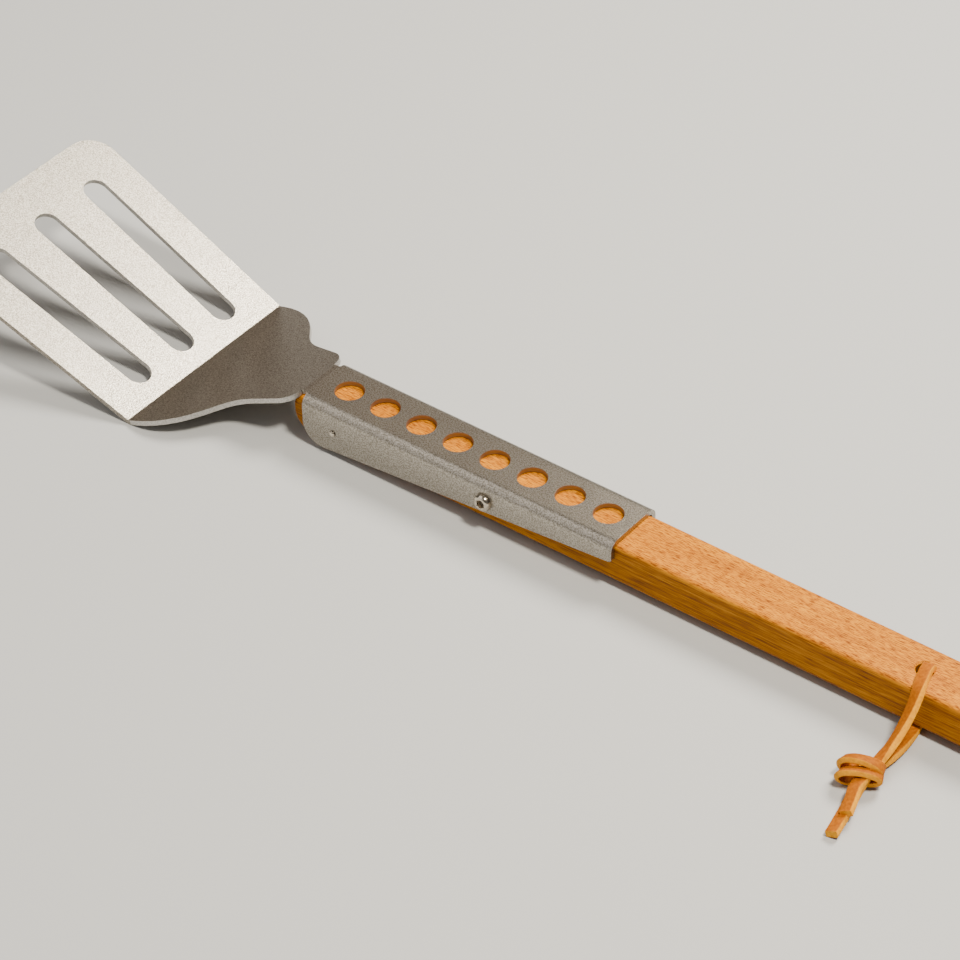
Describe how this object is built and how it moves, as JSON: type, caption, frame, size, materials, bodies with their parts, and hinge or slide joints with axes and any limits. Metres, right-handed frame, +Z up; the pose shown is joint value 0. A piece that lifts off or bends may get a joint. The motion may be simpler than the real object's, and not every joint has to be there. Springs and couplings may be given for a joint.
{
  "type": "grill spatula",
  "caption": "Slotted steel blade on a folded neck and perforated cover over a square wooden handle, with side screws, front pins and a knotted leather hanging thong.",
  "frame": {"origin": "middle of the box of the rigid pieces, on the surface that the spatula lies on", "axes": "+X along the handle from the blade to the hanging end, +Y to the right side, +Z up, out of the blade's food side"},
  "size_m": [0.4602, 0.121, 0.0419],
  "materials": {
    "stainless": "fine stonewashed satin, bright on the edges",
    "beech": "smooth oiled, open grain",
    "bright_steel": "polished",
    "leather": "tan lace with pale cut edges"
  },
  "bodies": {
    "root": {"spatula_head": "stainless", "wood_handle": "beech", "side_screw_left": "bright_steel", "side_screw_right": "bright_steel", "front_pin_left": "bright_steel", "front_pin_right": "bright_steel", "thong_upper_strand": "leather", "thong_lower_strand": "leather", "thong_knot": "leather", "thong_upper_tail": "leather", "thong_lower_tail": "leather"}
  },
  "joints": []
}
